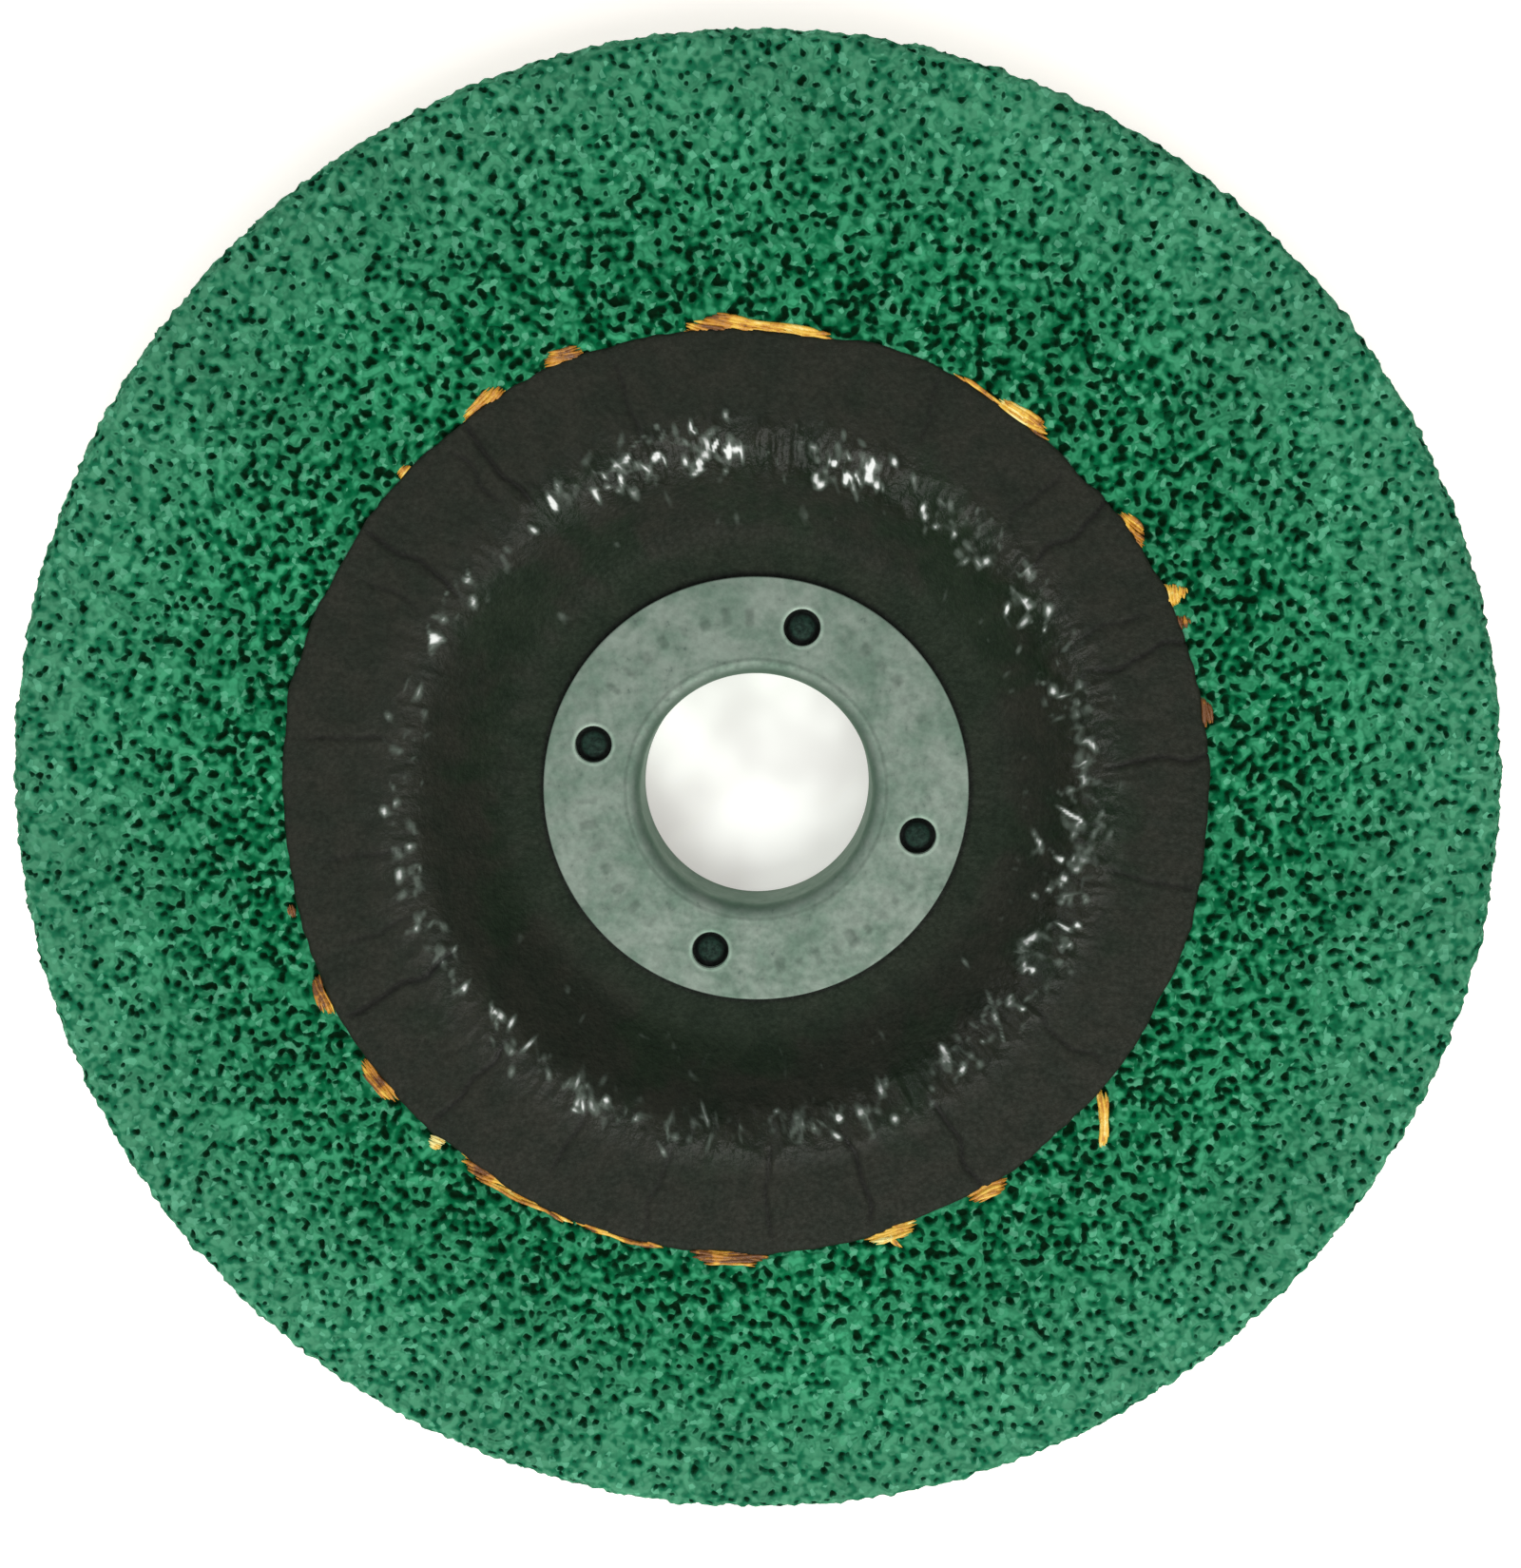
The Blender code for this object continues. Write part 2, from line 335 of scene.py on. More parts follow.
def grit_field(graph, place):
    """The pore value, low in the pits, the surface's height in mm and a random colour for each grain."""
    radius = graph.distance_from_axis(place)
    spacing = graph.math("SUBTRACT", graph.cells(place, CELL_SCALE)[0], 0.50)
    lumps = graph.math("SUBTRACT", graph.noise(place, PORE_SCALE, 0.3, 0.5), 0.50)
    pores = graph.math("MULTIPLY_ADD", lumps, PORE_SHARE, 0.50)
    pores = graph.math("MULTIPLY_ADD", spacing, CELL_SHARE, pores)
    pores = graph.math("ADD", pores, graph.remap(radius, DENSE_FROM, DENSE_TO, OPEN_SHIFT, DENSE_SHIFT))
    pit = graph.remap(pores, PIT_LOW, PIT_HIGH, 1.0, 0.0)
    distance, tint = graph.cells(place, GRAIN_SCALE)
    grain = graph.math("MULTIPLY", graph.math("SUBTRACT", 0.45, distance), GRAIN_HEIGHT)
    height = graph.math("SUBTRACT", grain, graph.math("MULTIPLY", pit, PIT_DEPTH))
    ragged = graph.math("SUBTRACT", graph.noise(place, RAGGED_SCALE), RAGGED_MEAN)
    at_rim = graph.remap(radius, RIM_FROM, RIM_TO, 0.0, RAGGED_HEIGHT)
    return pores, graph.math("MULTIPLY_ADD", ragged, at_rim, height), tint


def grit_material():
    """Green grain, dark in the pits as painted shade, and pale on the high grain and on parts of the
    pits' edges as painted highlights.
    """
    material, graph, shader = new_material("green_grit", specular=0.03)
    place = graph.millimetres(graph.stored("rest", "Vector"))
    pores, height, tint = grit_field(graph, place)
    radius = graph.distance_from_axis(place)

    outwards = graph.remap(radius, 34.0, 50.0)
    body = graph.mix(outwards, (0.0008, 0.092, 0.032), (0.0078, 0.117, 0.054))
    # The pale green is the colour of the painted highlights below.
    pale = graph.mix(outwards, (0.040, 0.285, 0.138), (0.064, 0.250, 0.139))
    # Painted shade: the pits are coloured near black, on top of their real depth in the mesh.
    colour = graph.mix(graph.remap(pores, 0.27, 0.54), (0.0002, 0.011, 0.0028), body)
    curl = graph.noise(place, 1.1, 0.6, 0.5)
    # Painted highlights: thin pale arcs on the pits' edges and pale tops on the high grain.
    above_pit, below_grain = graph.remap(pores, 0.40, 0.50), graph.remap(pores, 0.50, 0.66, 1.0, 0.0)
    rim_highlights = graph.math("MULTIPLY", above_pit, below_grain)
    rim_highlights = graph.math("MULTIPLY", rim_highlights, graph.remap(curl, 0.46, 0.60, 0.0, 0.60))
    light = graph.math("ADD", rim_highlights, graph.remap(pores, 0.52, 0.80, 0.0, 0.85))
    colour = graph.mix(light, colour, pale)
    chances = graph.add("ShaderNodeSeparateColor", {"Color": tint}).outputs
    # Painted glints: a few grains are coloured bright mint.
    few_grains = graph.remap(chances[1], 0.86, 0.94, 0.0, 0.45)
    glints = graph.math("MULTIPLY", few_grains, graph.remap(pores, 0.42, 0.52))
    colour = graph.mix(glints, colour, (0.130, 0.430, 0.265))
    colour = graph.brighten(colour, graph.remap(chances[0], 0.0, 1.0, 0.90, 1.10))
    patches = graph.noise(place, 0.09, 3.0, 0.5)
    colour = graph.brighten(colour, graph.remap(patches, 0.3, 0.7, 0.90, 1.10))
    # Painted highlight: the outermost millimetre, over the rounded rim, is coloured lighter.
    colour = graph.brighten(colour, graph.remap(radius, 49.0, 50.0, 1.0, 1.15))
    graph.feed(shader.inputs["Base Color"], colour)
    graph.feed(shader.inputs["Roughness"], graph.remap(curl, 0.3, 0.7, 0.85, 0.6))
    graph.feed(shader.inputs["Normal"], graph.bump(height, 0.8 * MM))
    return material


def roughened(mesh):
    """The mesh with each exposed point moved outward by the height of the grit."""
    tree = bpy.data.node_groups.new("roughen", "GeometryNodeTree")
    tree.interface.new_socket("Geometry", in_out="INPUT", socket_type="NodeSocketGeometry")
    tree.interface.new_socket("Geometry", in_out="OUTPUT", socket_type="NodeSocketGeometry")
    graph = Graph(tree)

    def named(name, kind):
        node = graph.add("GeometryNodeInputNamedAttribute", {"Name": name}, data_type=kind)
        return node.outputs["Attribute"]

    height = grit_field(graph, graph.millimetres(named("rest", "FLOAT_VECTOR")))[1]
    metres = graph.math("MULTIPLY", graph.math("MULTIPLY", height, MM), named("exposed", "FLOAT"))
    offset = graph.brighten(named("outward", "FLOAT_VECTOR"), metres)
    shape = graph.add("NodeGroupInput").outputs[0]
    moved = graph.add("GeometryNodeSetPosition", {"Geometry": shape, "Offset": offset})
    graph.feed(graph.add("NodeGroupOutput").inputs[0], moved.outputs[0])

    carrier = place_in_scene("carrier", mesh)
    carrier.modifiers.new("roughen", "NODES").node_group = tree
    made = evaluated_mesh(carrier)
    bpy.data.objects.remove(carrier)
    made.name = mesh.name
    for name in ("outward", "exposed"):
        made.attributes.remove(made.attributes[name])
    return made


class Section:
    """Rows of a turned surface: radius, z, outward direction and how far grit shows on it."""

    def __init__(self, columns):
        self.angles = column_angles(columns)
        self.rows = []

    def row(self, radius, z, outward=(0.0, 0.0), exposed=0.0):
        flat = np.ones_like(self.angles)
        self.rows.append([flat * value for value in (radius, z, *outward, exposed)])

    def grit_mesh(self, name):
        radius, z, out_radius, out_z, exposed = np.array(self.rows).transpose(1, 0, 2)
        points = around(radius, self.angles, z)
        mesh = mesh_from_grid(name, points)
        store(mesh, "rest", "FLOAT_VECTOR", points)
        store(mesh, "outward", "FLOAT_VECTOR", around(out_radius, self.angles, out_z))
        store(mesh, "exposed", "FLOAT", exposed)
        return roughened(mesh)


def shoulder(beyond):
    """How far the grit lies under the face at this distance beyond the paper's edge."""
    return SHOULDER_DEPTH * (1.0 - smooth_step(beyond, 0.0, SHOULDER_WIDTH))


def abrasive_face(material):
    """The front layer: the seat under net and paper, the working face, the rim and the underside."""
    section = Section(GRIT_COLUMNS)
    edge = paper_edge(section.angles)
    seat_end = edge - 0.5 * MM
    for part in runs(0.0, 1.0, 1 / 22):
        radius = LAYER_BORE + (seat_end - LAYER_BORE) * part
        section.row(radius, dish(radius, SEAT))
    face_end = WHEEL_RADIUS - FRONT_EDGE_ROUND
    count = round((face_end - PAPER_RADIUS) / GRIT_STEP)
    for index in range(count):
        beyond = -0.3 * MM + (face_end - edge + 0.3 * MM) * index / count
        shown = smooth_step(beyond, -0.1 * MM, 0.15 * MM)
        section.row(edge + beyond, FACE_Z - shoulder(beyond), (0.0, 1.0), shown)
    for angle in runs(math.pi / 2, 0.0, GRIT_STEP / FRONT_EDGE_ROUND):
        direction = (math.cos(angle), math.sin(angle))
        radius = face_end + FRONT_EDGE_ROUND * direction[0]
        section.row(radius, FACE_Z + FRONT_EDGE_ROUND * (direction[1] - 1.0), direction, 1.0)
    for z in runs(FACE_Z - FRONT_EDGE_ROUND, SEAM_Z, GRIT_STEP):
        section.row(WHEEL_RADIUS, z, (1.0, 0.0), 1.0)
    section.row(WHEEL_RADIUS, SEAM_Z, (1.0, 0.0), 1.0)
    section.row(LIP_RADIUS, SEAM_Z)
    for radius in runs(LIP_RADIUS, LAYER_BORE, HIDDEN_STEP):
        section.row(radius, dish(radius, FRONT_LAYER_BASE))
    section.row(LAYER_BORE, dish(LAYER_BORE, FRONT_LAYER_BASE))
    return add_piece("abrasive_face", section.grit_mesh("abrasive_face"), material, "abrasive_front")


def rear_skin(radius):
    """Height of the back grit in the layers. It fills the meshes of the net and steps in outside it."""
    fill = REAR_LAYER_BASE - 0.28 * MM
    return fill + (REAR_LAYER_BASE - fill) * smooth_step(radius, NET_RADIUS - 0.6 * MM, LIP_RADIUS)


def abrasive_rear(material):
    """The back layer: its top under the middle net, the lower rim and the grit between the strands."""
    section = Section(GRIT_COLUMNS)
    for radius in runs(LAYER_BORE, LIP_RADIUS, HIDDEN_STEP):
        section.row(radius, dish(radius, REAR_LAYER_TOP))
    section.row(LIP_RADIUS, dish(LIP_RADIUS, REAR_LAYER_TOP))
    bottom = HUB_DROP + REAR_LAYER_BASE
    for z in runs(SEAM_Z, bottom + BACK_EDGE_ROUND, GRIT_STEP):
        section.row(WHEEL_RADIUS, z, (1.0, 0.0), 1.0)
    centre = WHEEL_RADIUS - BACK_EDGE_ROUND
    for angle in runs(0.0, -math.pi / 2, GRIT_STEP / BACK_EDGE_ROUND):
        direction = (math.cos(angle), math.sin(angle))
        radius = centre + BACK_EDGE_ROUND * direction[0]
        section.row(radius, bottom + BACK_EDGE_ROUND * (direction[1] + 1.0), direction, 1.0)
    for radius in runs(centre, LABEL_RADIUS - 1.0 * MM, 1.3 * GRIT_STEP):
        section.row(radius, dish(radius, rear_skin(radius)), (0.0, -1.0), 0.6)
    for radius in runs(LABEL_RADIUS - 1.0 * MM, LAYER_BORE, HIDDEN_STEP):
        section.row(radius, dish(radius, rear_skin(radius)))
    section.row(LAYER_BORE, dish(LAYER_BORE, rear_skin(LAYER_BORE)))
    return add_piece("abrasive_rear", section.grit_mesh("abrasive_rear"), material, "abrasive_back")


# ---------------------------------------------------------------- paper

# By angle in degrees: how strongly the paper is crumpled at its knee, and how bright the painted
# highlights on its creases are
CRUMPLE = ((-180, 0.45, 0.75), (-150, 0.50, 0.70), (-125, 0.65, 0.50), (-100, 0.85, 0.48),
           (-65, 0.80, 0.45), (-50, 0.90, 0.66), (0, 0.98, 0.56), (35, 0.95, 0.46),
           (55, 0.85, 0.66), (70, 1.00, 1.00), (100, 1.00, 1.00), (122, 0.80, 0.85),
           (140, 0.42, 0.70), (165, 0.40, 0.70), (180, 0.45, 0.75))
# Long folds out of the knee: angle in degrees, inner and outer radius in mm, depth in mm
FOLDS = ((128, 24.5, 32.0, 0.20), (131, 26.0, 31.0, 0.14), (145, 24.0, 32.0, 0.18),
         (151, 26.0, 30.0, 0.10), (-152, 23.5, 32.0, 0.26), (-160, 25.0, 30.0, 0.10),
         (-135, 24.0, 32.0, 0.16), (-118, 25.0, 30.0, 0.12), (-104, 25.0, 32.0, 0.10),
         (-88, 24.0, 31.0, 0.14), (-75, 24.0, 31.0, 0.18), (-60, 24.0, 32.0, 0.18),
         (-38, 24.0, 30.5, 0.12), (-12, 24.5, 31.0, 0.12), (5, 24.0, 32.0, 0.18),
         (20, 24.0, 32.0, 0.18), (26, 24.0, 29.0, 0.12), (40, 24.0, 32.0, 0.18),
         (47, 25.0, 30.0, 0.12), (66, 26.0, 31.0, 0.10), (108, 25.0, 31.0, 0.12),
         (172, 24.5, 31.0, 0.12), (-172, 24.0, 30.0, 0.10))
FOLD_WIDTH = 0.17 * MM
HOLE_CIRCLE_RADIUS = 11.6 * MM
HOLE_RADIUS = 1.25 * MM
HOLE_COUNT = 4
FIRST_HOLE = math.radians(74.2)


def hole_places():
    for index in range(HOLE_COUNT):
        angle = FIRST_HOLE + index * FULL_TURN / HOLE_COUNT
        yield HOLE_CIRCLE_RADIUS * math.cos(angle), HOLE_CIRCLE_RADIUS * math.sin(angle)


def crumple_at(angle):
    """Strength of the crumpling and brightness of the painted highlights on the creases at this angle."""
    degrees = (np.degrees(angle) + 180.0) % 360.0 - 180.0
    places, strength, shine = np.array(CRUMPLE, dtype=float).T
    return np.interp(degrees, places, strength), np.interp(degrees, places, shine)


def knee_at(angle):
    return KNEE_RADIUS - KNEE_SHIFT * np.cos(angle)


def paper_folds(angle, radius):
    """Depth of the long folds, each of which wanders a little as it runs outward."""
    depth = np.zeros_like(angle)
    for index, (degrees, inner, outer, fold_depth) in enumerate(FOLDS):
        sway = 0.5 * MM * ring_noise(np.full_like(radius, 0.5), radius, 3, 1.7 * MM, 300 + index)
        gap = (angle - math.radians(degrees) + math.pi) % FULL_TURN - math.pi
        across = gap * radius - sway
        reach = smooth_step(radius, (inner - 1.0) * MM, (inner + 0.8) * MM)
        reach = reach * (1.0 - smooth_step(radius, (outer - 1.5) * MM, outer * MM))
        depth = np.maximum(depth, fold_depth * reach * np.exp(-((across / FOLD_WIDTH) ** 2)))
    return depth * MM


HIGHLIGHT_COUNT = 1300
HIGHLIGHT_LENGTHS = (0.20, 0.95)  # mm, half of the length
HIGHLIGHT_WIDTHS = (0.12, 0.35)
FOOT_SHARE = 0.07  # part of the painted highlights that lie at the foot of the slope
FOOT_RADIUS = 18.9 * MM
HIGHLIGHT_LEAN = 0.55  # spread of the lean from Y, in radians
CURL_SPREAD = 1.15 * MM


def paper_crease_highlights(angle, radius):
    """Painted highlights on the crumpled creases of the knee, from 0 to 1, in clumps. Most lie along Y,
    whatever their angle.
    """
    randomness = np.random.default_rng(71)
    places = randomness.uniform(0.0, FULL_TURN, HIGHLIGHT_COUNT)
    strengths, shines = crumple_at(places)
    clumps = 0.5 + 0.5 * ring_noise(places, 0.0, 60, 1.0, 73)
    ragged = 0.55 + 0.6 * ring_noise(angle, radius, 300, 0.6 * MM, 72)
    x, y = radius * np.cos(angle), radius * np.sin(angle)
    bright = np.zeros_like(radius)
    for place, strength, shine, clump in zip(places, strengths, shines, clumps):
        spread = (0.30 + 0.65 * strength) * MM
        middle = knee_at(place) + randomness.normal(0.0, 1.0) * spread
        length = randomness.uniform(*HIGHLIGHT_LENGTHS) * MM
        width = randomness.uniform(*HIGHLIGHT_WIDTHS) * MM
        lean = randomness.normal(0.0, HIGHLIGHT_LEAN)
        chance, highlight_strength, spot_choice = randomness.uniform(size=3)
        if spot_choice < FOOT_SHARE:
            middle = FOOT_RADIUS + randomness.normal(0.0, 0.5) * MM
            shine = 0.4 * shine
        if chance > strength * (0.22 + 0.78 * smooth_step(clump, 0.0, 0.65)):
            continue
        right, up = x - middle * math.cos(place), y - middle * math.sin(place)
        across = right * math.cos(lean) - up * math.sin(lean)
        along = right * math.sin(lean) + up * math.cos(lean)
        spot = np.exp(-((across / width) ** 2) - (along / length) ** 2)
        bright = np.maximum(bright, spot * (0.17 + 0.83 * highlight_strength**1.7 * shine))
    return np.clip((bright * 1.8 + paper_curl_highlights(angle, radius)) * ragged, 0.0, 1.0)


def paper_curl_highlights(angle, radius):
    """Thin painted highlights in loops and hooks on the edges of the crumpled paper near the knee."""
    strength, shine = crumple_at(angle)
    clumps = smooth_step(ring_noise(angle, radius, 70, 1.7 * MM, 75), -0.25, 0.45)
    loops = (1.0 - np.abs(ring_noise(angle, radius, 165, 0.9 * MM, 74))) ** 7
    near_knee = np.exp(-(((radius - knee_at(angle)) / CURL_SPREAD) ** 2))
    return 0.95 * loops * clumps * near_knee * strength * (0.30 + 0.70 * shine)


def paper_relief(angle, radius):
    """Height of the creases, and how crumpled the paper is there, from 0 to 1."""
    sway = 0.012 * ring_noise(angle, radius, 40, 2.0 * MM, 20)
    beyond_knee = radius - knee_at(angle)
    knee = smooth_step(beyond_knee, -2.4 * MM, -0.9 * MM)
    knee = knee * (1.0 - smooth_step(beyond_knee, 1.0 * MM, 3.4 * MM))
    knee = knee * crumple_at(angle)[0]
    wide = 1.0 - np.abs(ring_noise(angle + sway, radius, 110, 2.6 * MM, 21))
    narrow = 1.0 - np.abs(ring_noise(angle - sway, radius, 230, 1.3 * MM, 22))
    pleats = 0.24 * wide**3 + 0.16 * narrow**4
    crepe = 0.020 * ring_noise(angle, radius, 330, 1.0 * MM, 23)
    crepe = crepe + 0.030 * ring_noise(angle, radius, 90, 1.9 * MM, 24)
    outside = smooth_step(radius, KNEE_RADIUS, 27.0 * MM)
    rays = (1.0 - np.abs(ring_noise(angle + sway, radius, 120, 5.0 * MM, 25))) ** 5
    swells = 0.09 * ring_noise(angle, radius, 34, 4.0 * MM, 26)
    height = (pleats * knee + crepe + (swells - 0.06 * rays) * outside) * MM
    return height, knee


def paper_in_holes(x, y):
    """How far inside one of the ring's holes a point lies, from 0 to 1, and how high the paper swells."""
    in_hole = np.zeros_like(x)
    height = np.zeros_like(x)
    for hole_x, hole_y in hole_places():
        away = np.hypot(x - hole_x, y - hole_y)
        in_hole = np.maximum(in_hole, 1.0 - smooth_step(away, 0.45 * HOLE_RADIUS, 1.05 * HOLE_RADIUS))
        swell = 1.0 - smooth_step(away, 0.45 * MM, HOLE_RADIUS - 0.1 * MM)
        groove = smooth_step(away, 0.9 * MM, HOLE_RADIUS) * (away < HOLE_RADIUS)
        height = height + (0.30 * swell - 0.12 * groove) * MM
    return in_hole, height


def paper_front(material):
    """The crumpled disc of black paper over hub and slope."""
    angles = column_angles(PAPER_COLUMNS)
    edge = paper_edge(angles)
    count = round((PAPER_RADIUS - LAYER_BORE) / PAPER_STEP)
    part = np.linspace(0.0, 1.0, count + 1)[:, None]
    radius = LAYER_BORE + (edge - LAYER_BORE) * part
    angle = np.broadcast_to(angles, radius.shape)
    relief, knee = paper_relief(angle, radius)
    free = smooth_step(radius, FLANGE_RADIUS - 0.2 * MM, FLANGE_RADIUS + 1.2 * MM)
    folds = paper_folds(angle, radius)
    crease_highlights = paper_crease_highlights(angle, radius)
    edge_drop = 0.08 * MM * smooth_step(radius, edge - 0.35 * MM, edge)
    height = (relief - folds + 0.10 * MM * crease_highlights) * free - edge_drop
    in_hole, swell = paper_in_holes(radius * np.cos(angle), radius * np.sin(angle))
    top = around(radius, angle, dish(radius, THICKNESS) + height + swell)
    under = top[::-UNDER_SKIP] - np.array([0.0, 0.0, PAPER_THICKNESS])
    mesh = mesh_from_grid("paper_front", np.concatenate([top, under]))
    looks = {"crumple": knee * free, "crease_highlight": crease_highlights, "fold": folds / DARK_FOLD, "in_hole": in_hole}
    for name, values in looks.items():
        store(mesh, name, "FLOAT", np.concatenate([values, values[::-UNDER_SKIP]]))
    return add_piece("paper_front", mesh, material, "front_paper")


def paper_material(name):
    """Black resin-soaked paper: greener on the hub, with painted shadow beside the ring, painted
    highlights on the creases and painted shade in the folds and round the edges of the ring's holes.
    """
    material, graph, shader = new_material(name, specular=0.16)
    place = graph.object_place()
    radius = graph.distance_from_axis(place)
    blotches = graph.noise(place, 0.45, 4.0, 0.6)
    fibres = graph.noise(place, 3.0, 4.0, 0.65)
    blotch = graph.remap(blotches, 0.3, 0.7)
    pressed = graph.mix(blotch, (0.0080, 0.0118, 0.0066), (0.0142, 0.0156, 0.0100))
    hub = graph.mix(blotch, (0.0048, 0.0118, 0.0047), (0.0098, 0.0174, 0.0084))
    drift = graph.remap(graph.noise(place, 0.11, 3.0, 0.6), 0.3, 0.7, -8.0, 8.0)
    stain = graph.remap(graph.math("ADD", radius, drift), 15.5, 22.5)
    from_ring = graph.math("MAXIMUM", graph.remap(radius, 15.0, 18.5), 0.35)
    colour = graph.mix(graph.math("MULTIPLY", stain, from_ring), hub, pressed)
    # Painted shadow: the paper is darkened in a thin band just outside the ring's edge.
    colour = graph.brighten(colour, graph.remap(radius, 14.75, 15.15, 0.35, 1.0))
    colour = graph.brighten(colour, graph.remap(fibres, 0.3, 0.7, 0.8, 1.2))
    # Painted highlights on the creases: grey-green, with white cores where strongest.
    crease_highlight = graph.stored("crease_highlight")
    colour = graph.mix(graph.remap(crease_highlight, 0.10, 0.55, 0.0, 0.90), colour, (0.085, 0.108, 0.088))
    colour = graph.mix(graph.remap(crease_highlight, 0.45, 0.90), colour, (0.70, 0.72, 0.70))
    # Painted shade: the folds are coloured near black by their depth.
    fold = graph.math("MINIMUM", graph.stored("fold"), 0.7)
    colour = graph.mix(fold, colour, (0.004, 0.004, 0.003))
    inside = graph.stored("in_hole")
    grainy = graph.remap(fibres, 0.35, 0.65)
    hole_floor = graph.mix(grainy, (0.0012, 0.0090, 0.0055), (0.0085, 0.030, 0.020))
    # Painted shade: a near-black ring round the edge of each of the ring's holes, over the paper's dark
    # green in the hole.
    hole_floor = graph.mix(graph.remap(inside, 0.45, 0.98), (0.0008, 0.0022, 0.0016), hole_floor)
    colour = graph.mix(graph.remap(inside, 0.0, 0.2), colour, hole_floor)
    graph.feed(shader.inputs["Base Color"], colour)
    dull = graph.remap(fibres, 0.3, 0.7, 0.75, 0.55)
    shine = graph.math("SUBTRACT", 1.0, graph.math("MULTIPLY", graph.stored("crumple"), 0.62))
    graph.feed(shader.inputs["Roughness"], graph.math("MULTIPLY", dull, shine))
    graph.feed(shader.inputs["Normal"], graph.bump(graph.noise(place, 2.2, 4.0, 0.6), 0.12 * MM))
    return material


def label_rear(material):
    """The plain paper label on the back, which lies almost flat over the net."""
    angles = column_angles(480)
    count = round((LABEL_RADIUS - LAYER_BORE) / (0.5 * MM))
    radius = np.linspace(LAYER_BORE, LABEL_RADIUS, count)[:, None] * np.ones_like(angles)
    angle = np.broadcast_to(angles, radius.shape)
    dents = ring_noise(angle, radius, 60, 3.0 * MM, 41)
    dents = dents + 0.5 * ring_noise(angle, radius, 140, 1.4 * MM, 42)
    height = 0.03 * MM * (1.5 + dents) * smooth_step(radius, RECESS_RADIUS, RECESS_RADIUS + 3 * MM)
    low = dish(radius, 0.0) + height
    under = around(radius, angle, low)
    top = around(radius, angle, low + 0.8 * PAPER_THICKNESS)
    mesh = mesh_from_grid("label_rear", np.concatenate([top, under[::-1]]))
    return add_piece("label_rear", mesh, material, "back_label")


# ---------------------------------------------------------------- nets

MESH_PITCH = 8.0 * MM
STRAND_WIDTH = 1.6 * MM
STRAND_THICKNESS = 0.24 * MM
WEAVE = 0.11 * MM
STRAND_STEP = 0.5 * MM
STRAND_SIDES = 10
NET_BORE = LAYER_BORE + 0.2 * MM
NET_MIDDLE = 0.25 * MM  # height of a net's middle above its underside
# Tones from dark to pale
AMBER = ((0.13, 0.042, 0.004), (0.46, 0.190, 0.010),
         (0.70, 0.42, 0.045), (0.80, 0.70, 0.26))
DUSTY = ((0.05, 0.10, 0.04), (0.20, 0.22, 0.09),
         (0.36, 0.34, 0.16), (0.50, 0.47, 0.26))


class Tubes:
    """Gathers capped tubes along lists of points into one mesh, with one tone for each tube."""

    def __init__(self):
        self.points = []
        self.faces = []
        self.tones = []
        self.count = 0

    def add(self, rings, tone):
        """Rings is an array of points by tube end, side and coordinate. The ends are drawn to a point."""
        rows, sides = rings.shape[:2]
        first = rings[:1].mean(axis=1, keepdims=True).repeat(sides, axis=1)
        last = rings[-1:].mean(axis=1, keepdims=True).repeat(sides, axis=1)
        rings = np.concatenate([first, rings, last])
        rows += 2
        here = np.arange(rows * sides).reshape(rows, sides) + self.count
        beside = np.roll(here, -1, axis=1)
        quads = np.stack([here[:-1], here[1:], beside[1:], beside[:-1]], axis=-1)
        self.points.append(rings.reshape(-1, 3))
        self.faces.append(quads.reshape(-1, 4))
        self.tones.append(np.full(rows * sides, tone))
        self.count += rows * sides

    def mesh(self, name):
        mesh = mesh_from_arrays(name, np.concatenate(self.points), np.concatenate(self.faces))
        store(mesh, "tone", "FLOAT", np.concatenate(self.tones))
        return mesh


def strand_stretches(offset, inner, outer):
    """Where a strand at this offset from the axis starts and stops, cut through by the bore."""
    outer_side = abs(offset) + STRAND_WIDTH / 2
    far = math.sqrt(outer**2 - outer_side**2)
    inner_side = max(abs(offset) - STRAND_WIDTH / 2, 0.0)
    if inner_side >= inner:
        return [(-far, far)]
    near = math.sqrt(inner**2 - inner_side**2)
    return [(-far, -near), (near, far)]


def weave_strands(tubes, inner, outer, middle_height, seed):
    """Flat strands both ways over a ring of the disc, each passing over and under the others."""
    randomness = np.random.default_rng(seed)
    reach = int(outer / MESH_PITCH)
    sides = np.arange(STRAND_SIDES) / STRAND_SIDES * FULL_TURN
    for direction in (0, 1):
        for line in range(-reach - 1, reach + 1):
            offset = (line + 0.5) * MESH_PITCH
            if abs(offset) > outer - STRAND_WIDTH:
                continue
            tone = randomness.uniform(0.1, 0.8)
            for start, stop in strand_stretches(offset, inner, outer):
                along = np.linspace(start, stop, max(4, round((stop - start) / STRAND_STEP)))
                lift = WEAVE * np.sin(math.pi * (along / MESH_PITCH + line + direction))
                across = offset + STRAND_WIDTH / 2 * np.cos(sides)[None, :] + 0 * along[:, None]
                along_wide = along[:, None] + 0 * across
                x, y = (along_wide, across) if direction == 0 else (across, along_wide)
                profile = STRAND_THICKNESS / 2 * np.sign(np.sin(sides)) * np.abs(np.sin(sides)) ** 0.6
                z = dish(np.hypot(x, y), middle_height) + lift[:, None] + profile[None, :]
                rings = np.stack([x, y, z], axis=-1)
                tubes.add(rings if direction == 0 else rings[:, ::-1], tone)


